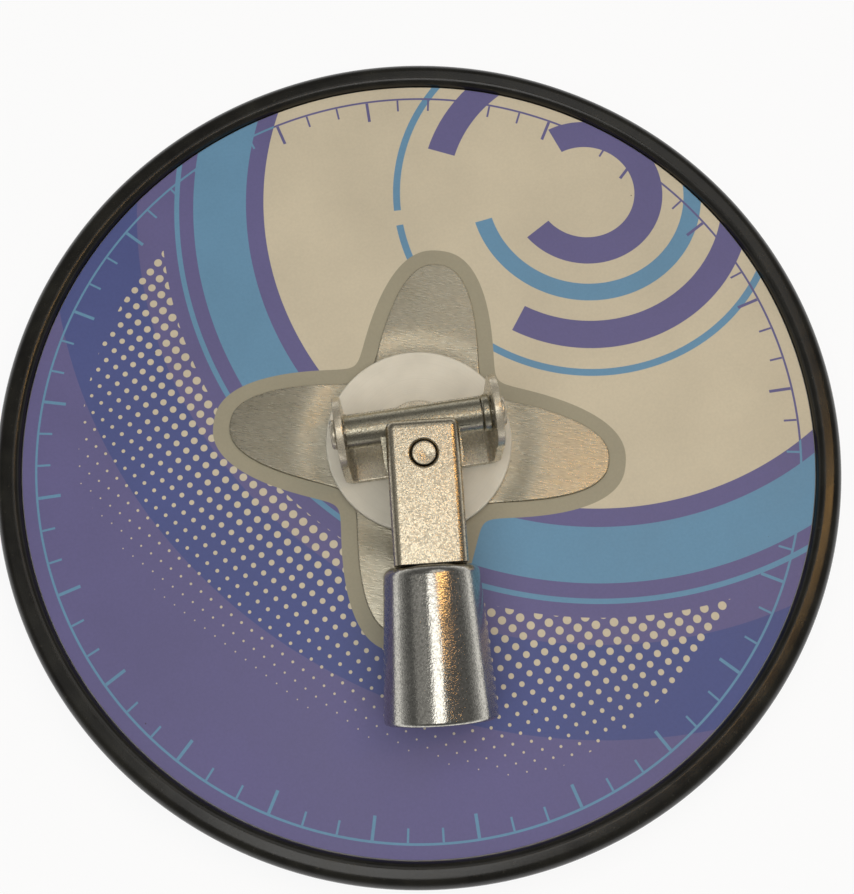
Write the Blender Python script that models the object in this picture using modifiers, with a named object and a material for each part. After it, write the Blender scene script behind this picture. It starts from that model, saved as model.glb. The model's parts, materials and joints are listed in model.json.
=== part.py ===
"""Head of a pole drywall sander: a round pad, a swivelling two-way knuckle and a threaded pole socket.

Metres, +Z up. The pad lies face down on Z = 0 with its centre on the Z axis, and the pole socket is
folded down over the printed face towards -Y.
"""
import math

import bmesh
import bpy

MM = 0.001

# Clearances
SEAT = 0.3 * MM  # between two pieces that touch
RUN = 0.3 * MM  # round a shaft that turns or passes through
SLOT_PLAY = 0.35 * MM  # between the sleeve and the tines that straddle it
REST_GAP = 0.5 * MM  # under the mouth of the folded socket
WELD = 0.002 * MM  # points closer than this become one

# Round head
HEAD_DIAMETER = 228.6 * MM  # nine inches over the bumper ring
RING_WIDTH = 7.0 * MM
RING_LIP = 2.8 * MM  # ring above the backing disc, and as much again below it
RING_ROUND = 3.3 * MM
RING_INNER_ROUND = 2.0 * MM
RING_BITE = 3.2 * MM  # how far the disc's edge reaches into the ring
DISC_THICKNESS = 3.0 * MM
PAD_THICKNESS = 10.0 * MM
PAD_INSET = 3.0 * MM  # pad's edge inside the ring's outermost line
PAD_ROUND = 1.2 * MM
HOOK_THICKNESS = 1.6 * MM
HOOK_INSET = 1.0 * MM
LABEL_THICKNESS = 0.4 * MM
PLATE_THICKNESS = 1.5 * MM
PLATE_ROUND = 0.45 * MM
LOBE_REACH = 51.5 * MM
LOBE_HALF_WIDTH = 14.8 * MM
LOBE_FULLNESS = 2.4  # 2 is an ellipse, more is blunter
LOBE_BLEND = 5.0  # how sharply the lobes run into each other
LOBE_TURN = math.radians(-14.4)  # the lobes from the cross pin's line

# Swivel in the middle of the head
BOLT_DIAMETER = 8.0 * MM
BOLT_HEAD_DIAMETER = 16.0 * MM
BOLT_HEAD_HEIGHT = 3.2 * MM
BOLT_HEAD_CROWN = 0.8 * MM
BOLT_TIP = 1.0 * MM  # thread showing past the nut
BOLT_KEY = 5.0 * MM  # across the flats of the key recess
BOLT_KEY_DEPTH = 1.8 * MM
BUSH_WALL = 2.0 * MM
THRUST_DIAMETER = 50.0 * MM
THRUST_THICKNESS = 1.5 * MM
CAP_DIAMETER = 20.0 * MM
CAP_THICKNESS = 1.2 * MM
CLAMP_DIAMETER = 28.0 * MM
CLAMP_THICKNESS = 1.5 * MM
NUT_FLATS = 13.0 * MM
NUT_HEIGHT = 6.0 * MM

# Clevis bracket and its cross pin
PIN_RISE = 21.5 * MM  # cross pin above the printed face
EAR_SPAN = 37.5 * MM  # between the ears
SHEET = 2.0 * MM
BEND = 1.8 * MM
BRACKET_DEPTH = 18.7 * MM
PIN_DIAMETER = 5.6 * MM
PIN_HEAD_DIAMETER = 7.6 * MM
PIN_HEAD_HEIGHT = 1.2 * MM
PIN_HEAD_CROWN = 0.6 * MM
SPACER_DIAMETER = 9.2 * MM
SPACER_THICKNESS = 2.2 * MM

# Tee that rocks on the cross pin
SLEEVE_DIAMETER = 8.5 * MM
TONGUE_WIDTH = 20.0 * MM
KNUCKLE_OFFSET = 9.0 * MM  # cross pin to rivet
KNUCKLE_WASHER_THICKNESS = 0.8 * MM

# Forked neck
NECK_WIDTH = 18.2 * MM
NECK_ROUND = 2.2 * MM
NECK_LENGTH = 27.2 * MM  # rivet to the socket's shoulder
TINE_REACH = 8.6 * MM  # rivet to the end of the tines
RIVET_DIAMETER = 5.9 * MM
RIVET_CHAMFER = 0.45 * MM
RIVET_PROUD = 0.25 * MM
SPIGOT_DIAMETER = 11.0 * MM
NECK_YAW = math.radians(-4.6)

# Pole socket with its female 3/4-5 Acme thread
SHOULDER_DIAMETER = 23.8 * MM
MOUTH_DIAMETER = 28.2 * MM
SOCKET_LENGTH = 37.8 * MM
SHOULDER_ROUND = 2.4 * MM
MOUTH_ROUND = 1.0 * MM
SOCKET_FLOOR = 4.5 * MM
THREAD_PITCH = 5.08 * MM
THREAD_MAJOR = 19.5 * MM
THREAD_MINOR = 14.2 * MM
THREAD_FLAT = 1.8 * MM  # width of the groove's floor
THREAD_FLANK = math.radians(14.5)
RELIEF_LENGTH = 6.0 * MM
ENTRY_DIAMETER = 20.6 * MM
ENTRY_DEPTH = 3.0 * MM

# Facets
WIDE_STEPS = 64
SMALL_STEPS = 28
ARC_STEPS = 3
LOBE_STEPS = 80
THREAD_STEPS = 20
SHARP_EDGE = math.radians(35)  # faces that meet at more than this keep a sharp edge

# Finishes: colour, roughness and metallic value
HOOK_TAPE = (0.03, 0.03, 0.032), 0.95, 0
FOAM = (0.05, 0.05, 0.055), 0.9, 0
DISC_PLASTIC = (0.36, 0.36, 0.35), 0.5, 0
RING_RUBBER = (0.015, 0.015, 0.014), 0.35, 0
PRINTED_LABEL = (0.13, 0.12, 0.22), 0.5, 0
BRUSHED_STEEL = (0.55, 0.53, 0.48), 0.35, 1
HUB_PLASTIC = (0.62, 0.58, 0.51), 0.6, 0
BUSH_BRASS = (0.6, 0.45, 0.2), 0.4, 1
ZINC = (0.6, 0.6, 0.58), 0.35, 1
SLEEVE_STEEL = (0.42, 0.42, 0.4), 0.4, 1
SPACER_STEEL = (0.4, 0.4, 0.4), 0.25, 1
BRIGHT_PLATE = (0.62, 0.61, 0.58), 0.25, 1
WASHER_NYLON = (0.05, 0.05, 0.05), 0.5, 0

# Levels that follow from the stack, from the floor up
PAD_LOW = HOOK_THICKNESS + SEAT
PAD_TOP = PAD_LOW + PAD_THICKNESS
DISC_LOW = PAD_TOP + SEAT
DISC_TOP = DISC_LOW + DISC_THICKNESS
FACE_LOW = DISC_TOP + SEAT
LABEL_TOP = FACE_LOW + LABEL_THICKNESS
PLATE_TOP = FACE_LOW + PLATE_THICKNESS
THRUST_LOW = PLATE_TOP + SEAT
THRUST_TOP = THRUST_LOW + THRUST_THICKNESS
BASE_LOW = THRUST_TOP + SEAT
BASE_TOP = BASE_LOW + SHEET
BUSH_TOP = BASE_TOP + SEAT
CAP_LOW = BUSH_TOP + SEAT
CAP_TOP = CAP_LOW + CAP_THICKNESS
BOLT_SEAT = CAP_TOP + SEAT
CLAMP_TOP = DISC_LOW - SEAT
CLAMP_LOW = CLAMP_TOP - CLAMP_THICKNESS
NUT_TOP = CLAMP_LOW - SEAT
NUT_LOW = NUT_TOP - NUT_HEIGHT
BOLT_LOW = NUT_LOW - BOLT_TIP
PIN_LEVEL = LABEL_TOP + PIN_RISE

# Radii that follow
RING_OUT = HEAD_DIAMETER / 2
RING_IN = RING_OUT - RING_WIDTH
DISC_RADIUS = RING_IN + RING_BITE
LABEL_RADIUS = RING_IN - SEAT
PAD_RADIUS = RING_OUT - PAD_INSET
BOLT_HOLE = BOLT_DIAMETER / 2 + RUN
BUSH_OUT = BOLT_HOLE + BUSH_WALL
BUSH_HOLE = BUSH_OUT + RUN
PIN_HOLE = PIN_DIAMETER / 2 + RUN
RIVET_HOLE = RIVET_DIAMETER / 2 + RUN
SLOT_HALF = SLEEVE_DIAMETER / 2 + SLOT_PLAY
WASHER_INNER_LEVEL = SLOT_HALF - SEAT - KNUCKLE_WASHER_THICKNESS
SLEEVE_CHORD = math.sqrt(max(0, (SLEEVE_DIAMETER / 2) ** 2 - WASHER_INNER_LEVEL**2))
KNUCKLE_WASHER_OUT = KNUCKLE_OFFSET - SLEEVE_CHORD - 2 * SEAT  # just clear of the sleeve
TONGUE_HALF = WASHER_INNER_LEVEL - SEAT
TONGUE_ROUND = TONGUE_WIDTH / 2
SLOT_DEPTH = TONGUE_ROUND + 2 * SEAT
SLEEVE_LENGTH = EAR_SPAN - SPACER_THICKNESS - 3 * SEAT
SLEEVE_SHIFT = -(SPACER_THICKNESS + SEAT) / 2
SPACER_PLACE = (EAR_SPAN - SPACER_THICKNESS) / 2 - SEAT

# The socket is folded down until its mouth is just clear of the printed face
FOLD_REACH = KNUCKLE_OFFSET + (NECK_LENGTH + SOCKET_LENGTH) * math.cos(NECK_YAW)
FOLD_SWING = math.hypot(FOLD_REACH, MOUTH_DIAMETER / 2)
FOLD = math.asin((PIN_RISE - REST_GAP) / FOLD_SWING) - math.atan2(MOUTH_DIAMETER / 2, FOLD_REACH)

# Turns that lay a local Z along another axis
ALONG_X = (0, math.pi / 2, 0)
ALONG_MINUS_Y = (math.pi / 2, 0, 0)
OUTLINE_IN_YZ = (math.pi / 2, 0, math.pi / 2)
OVERCUT = 4.0 * MM  # how far a cutter runs past what it cuts


for leftover in list(bpy.data.objects):
    bpy.data.objects.remove(leftover)


def new_collection(name):
    made = bpy.data.collections.new(name)
    bpy.context.scene.collection.children.link(made)
    return made


PARTS = new_collection("pole_drywall_sander")
CUTTERS = new_collection("cutters")


def new_axis(name, location, rotation=(0, 0, 0), parent=None):
    """An empty that stands on a joint's axis and carries what turns about it."""
    axis = bpy.data.objects.new(name, None)
    axis.location = location
    axis.rotation_euler = rotation
    axis.parent = parent
    PARTS.objects.link(axis)
    return axis


def place(piece, location, rotation, parent):
    piece.location = location
    piece.rotation_euler = rotation
    piece.parent = parent
    return piece


def finish(piece, colour, roughness, metallic):
    """The piece's own material, and smooth shading away from its sharp edges."""
    material = bpy.data.materials.new(piece.name)
    material.use_nodes = True
    shader = material.node_tree.nodes["Principled BSDF"]
    shader.inputs["Base Color"].default_value = (*colour, 1)
    shader.inputs["Roughness"].default_value = roughness
    shader.inputs["Metallic"].default_value = metallic
    piece.data.materials.append(material)
    piece.data.shade_smooth()
    piece.data.set_sharp_from_angle(angle=SHARP_EDGE)
    return piece


def rounded(corners):
    """The points of a closed outline whose corners (x, y, radius) are rounded."""
    points = []
    for i, (x, y, radius) in enumerate(corners):
        if not radius:
            points.append((x, y))
            continue
        before, after = corners[i - 1], corners[(i + 1) % len(corners)]
        back = math.atan2(before[1] - y, before[0] - x)
        ahead = math.atan2(after[1] - y, after[0] - x)
        between = (ahead - back + math.pi) % (2 * math.pi) - math.pi
        middle = back + between / 2
        reach = radius / abs(math.sin(between / 2))
        centre = (x + reach * math.cos(middle), y + reach * math.sin(middle))
        sweep = math.copysign(math.pi - abs(between), between)
        for step in range(ARC_STEPS + 1):
            angle = middle + math.pi + sweep * (0.5 - step / ARC_STEPS)
            points.append((centre[0] + radius * math.cos(angle), centre[1] + radius * math.sin(angle)))
    return points


def turned(name, points, steps, closed=True, collection=PARTS):
    """A profile of (radius, height) points, turned about Z; its outer side runs from top to bottom."""
    mesh = bpy.data.meshes.new(name)
    edges = [(i, i + 1) for i in range(len(points) - 1)]
    if closed:
        edges.append((len(points) - 1, 0))
    mesh.from_pydata([(radius, 0, height) for radius, height in points], edges, [])
    piece = bpy.data.objects.new(name, mesh)
    collection.objects.link(piece)
    screw = piece.modifiers.new("turn", "SCREW")
    screw.axis = "Z"
    screw.angle = 2 * math.pi
    screw.steps = screw.render_steps = steps
    screw.use_merge_vertices = True
    screw.merge_threshold = WELD
    return as_mesh(piece, collection)


def as_mesh(piece, collection=PARTS):
    """The piece as its modifiers or its curve make it, as one welded mesh."""
    bpy.context.view_layer.update()
    shape = piece.evaluated_get(bpy.context.evaluated_depsgraph_get())
    mesh = bpy.data.meshes.new_from_object(shape)
    form = bmesh.new()
    form.from_mesh(mesh)
    bmesh.ops.remove_doubles(form, verts=form.verts, dist=WELD)
    form.to_mesh(mesh)
    form.free()
    name = piece.name
    bpy.data.objects.remove(piece)
    made = bpy.data.objects.new(name, mesh)
    collection.objects.link(made)
    return made


def ring_of(name, inner, outer, low, high, steps=SMALL_STEPS, edge=0.0):
    """A washer, bush or disc: a rectangular section turned about Z."""
    section = [(outer, high, edge), (outer, low, edge), (inner, low, 0), (inner, high, 0)]
    return turned(name, rounded(section), steps)


def plate(name, outlines, thickness, collection=PARTS):
    """Flat outlines, the later ones holes in the first, with their thickness centred on Z = 0."""
    curve = bpy.data.curves.new(name, "CURVE")
    curve.dimensions = "2D"
    curve.fill_mode = "BOTH"
    curve.extrude = thickness / 2
    for outline in outlines:
        spline = curve.splines.new("POLY")
        spline.points.add(len(outline) - 1)
        for point, (x, y) in zip(spline.points, outline):
            point.co = (x, y, 0, 1)
        spline.use_cyclic_u = True
    piece = bpy.data.objects.new(name, curve)
    collection.objects.link(piece)
    return as_mesh(piece, collection)


def circle(radius, steps, centre=(0, 0)):
    turn = 2 * math.pi / steps
    return [
        (centre[0] + radius * math.cos(k * turn), centre[1] + radius * math.sin(k * turn))
        for k in range(steps)
    ]


def rod(name, radius, length, vertices=SMALL_STEPS):
    """A round or many-sided bar along Z, centred on the origin, as a cutter or a piece to join."""
    mesh = bpy.data.meshes.new(name)
    form = bmesh.new()
    bmesh.ops.create_cone(
        form, cap_ends=True, segments=vertices, radius1=radius, radius2=radius, depth=length
    )
    form.to_mesh(mesh)
    form.free()
    piece = bpy.data.objects.new(name, mesh)
    CUTTERS.objects.link(piece)
    return piece


def block(name, size, collection):
    mesh = bpy.data.meshes.new(name)
    form = bmesh.new()
    bmesh.ops.create_cube(form, size=1)
    bmesh.ops.scale(form, vec=size, verts=form.verts)
    form.to_mesh(mesh)
    form.free()
    piece = bpy.data.objects.new(name, mesh)
    collection.objects.link(piece)
    return piece


def shape_by(piece, tool, operation="DIFFERENCE"):
    """Cut, join or intersect a piece with a tool that stays behind as a hidden wire shape."""
    tool.hide_render = True
    tool.display_type = "WIRE"
    step = piece.modifiers.new(tool.name, "BOOLEAN")
    step.operation = operation
    step.solver = "EXACT"
    step.object = tool


def lobed_outline(grow):
    """Four lobes: two crossed, blunted ellipses whose polar radii blend, all grown by a margin."""
    long, short = LOBE_REACH + grow, LOBE_HALF_WIDTH + grow

    def oval(cos, sin):
        level = abs(cos / long) ** LOBE_FULLNESS + abs(sin / short) ** LOBE_FULLNESS
        return level ** (-1 / LOBE_FULLNESS)

    points = []
    for k in range(LOBE_STEPS):
        angle = 2 * math.pi * k / LOBE_STEPS
        cos, sin = math.cos(angle), math.sin(angle)
        radius = (oval(cos, sin) ** LOBE_BLEND + oval(sin, cos) ** LOBE_BLEND) ** (1 / LOBE_BLEND)
        points.append((radius * math.cos(angle + LOBE_TURN), radius * math.sin(angle + LOBE_TURN)))
    return points


swivel_axis = new_axis("swivel_axis", (0, 0, BASE_LOW))
pin_axis = new_axis("pin_axis", (0, 0, PIN_LEVEL - BASE_LOW), (FOLD, 0, 0), swivel_axis)
rivet_axis = new_axis("rivet_axis", (0, -KNUCKLE_OFFSET, 0), (0, 0, NECK_YAW), pin_axis)


def make_pad():
    """The soft pad with its hook sheet below; the pad is stepped to fit inside the ring."""
    hook = turned(
        "hook_sheet",
        [
            (0, HOOK_THICKNESS),
            (PAD_RADIUS - HOOK_INSET, HOOK_THICKNESS),
            (PAD_RADIUS - HOOK_INSET, 0),
            (0, 0),
        ],
        WIDE_STEPS,
        closed=False,
    )
    finish(hook, *HOOK_TAPE)
    neck_in = RING_IN - SEAT
    step = DISC_LOW - RING_LIP - 2 * SEAT
    well = CLAMP_DIAMETER / 2 + RUN
    section = [
        (neck_in, PAD_TOP, 0),
        (neck_in, step, 0),
        (PAD_RADIUS, step, PAD_ROUND),
        (PAD_RADIUS, PAD_LOW, PAD_ROUND),
        (well, PAD_LOW, 0),
        (well, PAD_TOP, 0),
    ]
    finish(turned("foam_pad", rounded(section), WIDE_STEPS), *FOAM)


def make_disc_and_ring():
    disc = ring_of("backing_disc", BOLT_HOLE, DISC_RADIUS, DISC_LOW, DISC_TOP, WIDE_STEPS)
    finish(disc, *DISC_PLASTIC)
    top, low = FACE_LOW + RING_LIP, DISC_LOW - SEAT - RING_LIP
    groove = DISC_RADIUS + SEAT
    section = [
        (RING_OUT, top, RING_ROUND),
        (RING_OUT, low, RING_ROUND),
        (RING_IN, low, 0),
        (RING_IN, DISC_LOW - SEAT, 0),
        (groove, DISC_LOW - SEAT, 0),
        (groove, FACE_LOW, 0),
        (RING_IN, FACE_LOW, 0),
        (RING_IN, top, RING_INNER_ROUND),
    ]
    ring = turned("bumper_ring", rounded(section), WIDE_STEPS)
    finish(ring, *RING_RUBBER)


def make_face():
    """The printed label with a lobed window, and the brushed plate that fills the window."""
    label = plate("face_label", [circle(LABEL_RADIUS, WIDE_STEPS), lobed_outline(SEAT)], LABEL_THICKNESS)
    place(label, (0, 0, FACE_LOW + LABEL_THICKNESS / 2), (0, 0, 0), None)
    finish(label, *PRINTED_LABEL)
    bolt_hole = circle(BOLT_HOLE, SMALL_STEPS)
    lobes = plate("lobed_plate", [lobed_outline(0), bolt_hole], PLATE_THICKNESS)
    place(lobes, (0, 0, FACE_LOW + PLATE_THICKNESS / 2), (0, 0, 0), None)
    finish(lobes, *BRUSHED_STEEL)
    edge = lobes.modifiers.new("pressed_edge", "BEVEL")
    edge.width = PLATE_ROUND
    edge.segments = 1
    edge.limit_method = "ANGLE"


def make_swivel():
    """The bolt, bush, washers and nut that the bracket spins on."""
    thrust = ring_of(
        "thrust_washer", BUSH_HOLE, THRUST_DIAMETER / 2, THRUST_LOW, THRUST_TOP, WIDE_STEPS
    )
    finish(thrust, *HUB_PLASTIC)
    bush = ring_of("swivel_bush", BOLT_HOLE, BUSH_OUT, THRUST_LOW, BUSH_TOP)
    finish(bush, *BUSH_BRASS)
    cap = ring_of("cap_washer", BOLT_HOLE, CAP_DIAMETER / 2, CAP_LOW, CAP_TOP)
    finish(cap, *ZINC)
    clamp = ring_of("clamp_washer", BOLT_HOLE, CLAMP_DIAMETER / 2, CLAMP_LOW, CLAMP_TOP)
    finish(clamp, *ZINC)
    shank = BOLT_DIAMETER / 2
    head = BOLT_HEAD_DIAMETER / 2
    head_top = BOLT_SEAT + BOLT_HEAD_HEIGHT
    bolt = turned(
        "swivel_bolt",
        [
            (0, head_top),
            (head - BOLT_HEAD_CROWN, head_top),
            (head, head_top - BOLT_HEAD_CROWN),
            (head, BOLT_SEAT),
            (shank, BOLT_SEAT),
            (shank, BOLT_LOW + BOLT_TIP / 2),
            (shank - BOLT_TIP / 2, BOLT_LOW),
            (0, BOLT_LOW),
        ],
        SMALL_STEPS,
        closed=False,
    )
    finish(bolt, *ZINC)
    key = rod("key_recess", BOLT_KEY / math.sqrt(3), 2 * BOLT_KEY_DEPTH, 6)
    place(key, (0, 0, head_top), (0, 0, 0), None)
    shape_by(bolt, key)
    hexagon = circle(NUT_FLATS / math.sqrt(3), 6)
    nut = plate("lock_nut", [hexagon, circle(BOLT_HOLE, SMALL_STEPS)], NUT_HEIGHT)
    place(nut, (0, 0, (NUT_LOW + NUT_TOP) / 2), (0, 0, 0), None)
    finish(nut, *ZINC)


def make_bracket():
    """A strip bent into a clevis, its ears rounded about the cross pin."""
    pin_above = PIN_LEVEL - BASE_LOW
    ear_top = pin_above + BRACKET_DEPTH / 2
    inner, outer = EAR_SPAN / 2, EAR_SPAN / 2 + SHEET
    bend_out = BEND + SHEET
    section = [
        (-outer, ear_top + OVERCUT, 0),
        (-outer, 0, bend_out),
        (outer, 0, bend_out),
        (outer, ear_top + OVERCUT, 0),
        (inner, ear_top + OVERCUT, 0),
        (inner, SHEET, BEND),
        (-inner, SHEET, BEND),
        (-inner, ear_top + OVERCUT, 0),
    ]
    bracket = plate("clevis_bracket", [rounded(section)], BRACKET_DEPTH)
    place(bracket, (0, 0, 0), ALONG_MINUS_Y, swivel_axis)
    half = BRACKET_DEPTH / 2
    wide = half + OVERCUT
    arc = [
        (half * math.cos(math.pi * k / SMALL_STEPS), pin_above + half * math.sin(math.pi * k / SMALL_STEPS))
        for k in range(SMALL_STEPS + 1)
    ]
    ear = plate(
        "ear_outline",
        [[(-wide, -OVERCUT), (wide, -OVERCUT), (wide, pin_above), *arc, (-wide, pin_above)]],
        2 * (outer + OVERCUT),
        CUTTERS,
    )
    place(ear, (0, 0, 0), OUTLINE_IN_YZ, swivel_axis)
    shape_by(bracket, ear, "INTERSECT")
    pin_bore = rod("ear_holes", PIN_HOLE, 2 * (outer + OVERCUT))
    shape_by(bracket, place(pin_bore, (0, 0, pin_above), ALONG_X, swivel_axis))
    bush_bore = rod("base_hole", BUSH_HOLE, 2 * OVERCUT)
    shape_by(bracket, place(bush_bore, (0, 0, 0), (0, 0, 0), swivel_axis))
    finish(bracket, *ZINC)


def make_cross_pin():
    """The pin through both ears, peened over at each end, and the spacer beside the sleeve."""
    end = EAR_SPAN / 2 + SHEET + SEAT
    tip = end + PIN_HEAD_HEIGHT
    shank, head = PIN_DIAMETER / 2, PIN_HEAD_DIAMETER / 2
    half = [
        (0, tip),
        (head - PIN_HEAD_CROWN, tip),
        (head, tip - PIN_HEAD_CROWN),
        (head, end),
        (shank, end),
    ]
    profile = half + [(radius, -height) for radius, height in reversed(half)]
    pin = turned("cross_pin", profile, SMALL_STEPS, closed=False)
    place(pin, (0, 0, PIN_LEVEL - BASE_LOW), ALONG_X, swivel_axis)
    finish(pin, *ZINC)
    half_thick = SPACER_THICKNESS / 2
    spacer = ring_of("spacer_washer", PIN_HOLE, SPACER_DIAMETER / 2, -half_thick, half_thick)
    place(spacer, (SPACER_PLACE, 0, PIN_LEVEL - BASE_LOW), ALONG_X, swivel_axis)
    finish(spacer, *SPACER_STEEL)


def make_tee():
    """The sleeve that rocks on the cross pin, with the tongue that the neck is riveted to."""
    arc = [
        (
            TONGUE_ROUND * math.cos(math.pi * k / SMALL_STEPS),
            -KNUCKLE_OFFSET - TONGUE_ROUND * math.sin(math.pi * k / SMALL_STEPS),
        )
        for k in range(SMALL_STEPS + 1)
    ]
    tee = plate("swivel_tee", [[(-TONGUE_ROUND, 0), (TONGUE_ROUND, 0), *arc]], 2 * TONGUE_HALF)
    place(tee, (0, 0, 0), (0, 0, 0), pin_axis)
    sleeve = rod("sleeve", SLEEVE_DIAMETER / 2, SLEEVE_LENGTH)
    shape_by(tee, place(sleeve, (SLEEVE_SHIFT, 0, 0), ALONG_X, pin_axis), "UNION")
    bore = rod("sleeve_bore", PIN_HOLE, EAR_SPAN)
    shape_by(tee, place(bore, (0, 0, 0), ALONG_X, pin_axis))
    eye = rod("tongue_eye", RIVET_HOLE, 2 * (TONGUE_HALF + OVERCUT))
    shape_by(tee, place(eye, (0, -KNUCKLE_OFFSET, 0), (0, 0, 0), pin_axis))
    finish(tee, *SLEEVE_STEEL)


def make_neck():
    """A square bar with a forked end, cut back to a spigot where the socket is pressed on."""
    length = TINE_REACH + NECK_LENGTH - SEAT
    neck = block("neck_fork", (NECK_WIDTH, length, NECK_WIDTH), PARTS)
    place(neck, (0, TINE_REACH - length / 2, 0), (0, 0, 0), rivet_axis)
    form = bmesh.new()
    form.from_mesh(neck.data)
    rims = [e for e in form.edges if any(v.co.y > 0 for v in e.verts)]
    bmesh.ops.bevel(
        form, geom=rims, offset=NECK_ROUND, segments=ARC_STEPS, profile=0.5, affect="EDGES"
    )
    form.to_mesh(neck.data)
    form.free()
    slot_size = (NECK_WIDTH + 2 * OVERCUT, SLOT_DEPTH + TINE_REACH + OVERCUT, 2 * SLOT_HALF)
    slot = block("fork_slot", slot_size, CUTTERS)
    place(slot, (0, (TINE_REACH + OVERCUT - SLOT_DEPTH) / 2, 0), (0, 0, 0), rivet_axis)
    shape_by(neck, slot)
    spigot = rod("spigot", SPIGOT_DIAMETER / 2, SOCKET_FLOOR + OVERCUT)
    along = NECK_LENGTH + (SOCKET_FLOOR - OVERCUT) / 2
    shape_by(neck, place(spigot, (0, -along, 0), ALONG_MINUS_Y, rivet_axis), "UNION")
    face = NECK_WIDTH / 2
    wide = RIVET_HOLE + RIVET_CHAMFER + OVERCUT
    half = [(0, face + OVERCUT), (wide, face + OVERCUT), (RIVET_HOLE, face - RIVET_CHAMFER)]
    profile = half + [(radius, -height) for radius, height in reversed(half)]
    eye = turned("rivet_eye", profile, SMALL_STEPS, closed=False, collection=CUTTERS)
    shape_by(neck, place(eye, (0, 0, 0), (0, 0, 0), rivet_axis))
    finish(neck, *ZINC)


def make_rivet_and_washers():
    shank = RIVET_DIAMETER / 2
    tip = NECK_WIDTH / 2 + RIVET_PROUD
    half = [(0, tip), (shank - RIVET_PROUD, tip), (shank, tip - RIVET_PROUD)]
    profile = half + [(radius, -height) for radius, height in reversed(half)]
    rivet = turned("neck_rivet", profile, SMALL_STEPS, closed=False)
    place(rivet, (0, 0, 0), (0, 0, 0), rivet_axis)
    finish(rivet, *ZINC)
    for side, name in ((1, "knuckle_washer_upper"), (-1, "knuckle_washer_lower")):
        thick = KNUCKLE_WASHER_THICKNESS / 2
        washer = ring_of(name, RIVET_HOLE, KNUCKLE_WASHER_OUT, -thick, thick)
        place(washer, (0, 0, side * (SLOT_HALF - SEAT - thick)), (0, 0, 0), rivet_axis)
        finish(washer, *WASHER_NYLON)


def thread_cutter():
    """The groove of the female thread: a helix with a trapezoid section, along Z from the floor."""
    depth = (THREAD_MAJOR - THREAD_MINOR) / 2
    reach = depth + RUN
    half_floor = THREAD_FLAT / 2
    half_mouth = half_floor + reach * math.tan(THREAD_FLANK)
    section = bpy.data.curves.new("thread_section", "CURVE")
    section.dimensions = "2D"
    spline = section.splines.new("POLY")
    corners = [(-reach, half_mouth), (0, half_floor), (0, -half_floor), (-reach, -half_mouth)]
    spline.points.add(len(corners) - 1)
    for point, (x, y) in zip(spline.points, corners):
        point.co = (x, y, 0, 1)
    spline.use_cyclic_u = True
    section_piece = bpy.data.objects.new("thread_section", section)
    CUTTERS.objects.link(section_piece)
    start = NECK_LENGTH + SOCKET_FLOOR + RELIEF_LENGTH / 2
    end = NECK_LENGTH + SOCKET_LENGTH - ENTRY_DEPTH / 2
    count = int((end - start) / THREAD_PITCH * THREAD_STEPS)
    helix = bpy.data.curves.new("thread_groove", "CURVE")
    helix.dimensions = "3D"
    helix.twist_mode = "Z_UP"
    helix.bevel_mode = "OBJECT"
    helix.bevel_object = section_piece
    helix.use_fill_caps = True
    route = helix.splines.new("POLY")
    route.points.add(count)
    radius = THREAD_MAJOR / 2
    for k, point in enumerate(route.points):
        turn = 2 * math.pi * k / THREAD_STEPS
        climb = start + THREAD_PITCH * k / THREAD_STEPS
        point.co = (radius * math.cos(turn), radius * math.sin(turn), climb, 1)
    piece = bpy.data.objects.new("thread_groove", helix)
    CUTTERS.objects.link(piece)
    groove = as_mesh(piece, CUTTERS)
    bpy.data.objects.remove(section_piece)
    return groove


def make_socket():
    """A tapered cup pressed on the neck's spigot, threaded inside for the pole."""
    shoulder, mouth = NECK_LENGTH, NECK_LENGTH + SOCKET_LENGTH
    floor = shoulder + SOCKET_FLOOR
    relief = THREAD_MAJOR / 2 + RUN
    bore, entry = THREAD_MINOR / 2, ENTRY_DIAMETER / 2
    spigot = SPIGOT_DIAMETER / 2 + RUN
    section = [
        (MOUTH_DIAMETER / 2, mouth, MOUTH_ROUND),
        (SHOULDER_DIAMETER / 2, shoulder, SHOULDER_ROUND),
        (spigot, shoulder, 0),
        (spigot, floor, 0),
        (relief, floor, 0),
        (relief, floor + RELIEF_LENGTH, 0),
        (bore, floor + RELIEF_LENGTH, 0),
        (bore, mouth - ENTRY_DEPTH, 0),
        (entry, mouth - ENTRY_DEPTH, 0),
        (entry, mouth, 0),
    ]
    socket = turned("pole_socket", rounded(section), SMALL_STEPS)
    place(socket, (0, 0, 0), ALONG_MINUS_Y, rivet_axis)
    shape_by(socket, place(thread_cutter(), (0, 0, 0), ALONG_MINUS_Y, rivet_axis))
    finish(socket, *BRIGHT_PLATE)


make_pad()
make_disc_and_ring()
make_face()
make_swivel()
make_bracket()
make_cross_pin()
make_tee()
make_neck()
make_rivet_and_washers()
make_socket()
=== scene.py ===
"""Looks of the pole drywall sander's head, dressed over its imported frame.

Metres, +Z up, in the frame's own place. The round head lies on the floor, the clevis bracket swivels on
it, and the knuckle carries the forked neck and the pole socket, folded down over the printed face.
"""
import json
import math

import bmesh
import bpy
from mathutils import Matrix, Vector, noise


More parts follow.
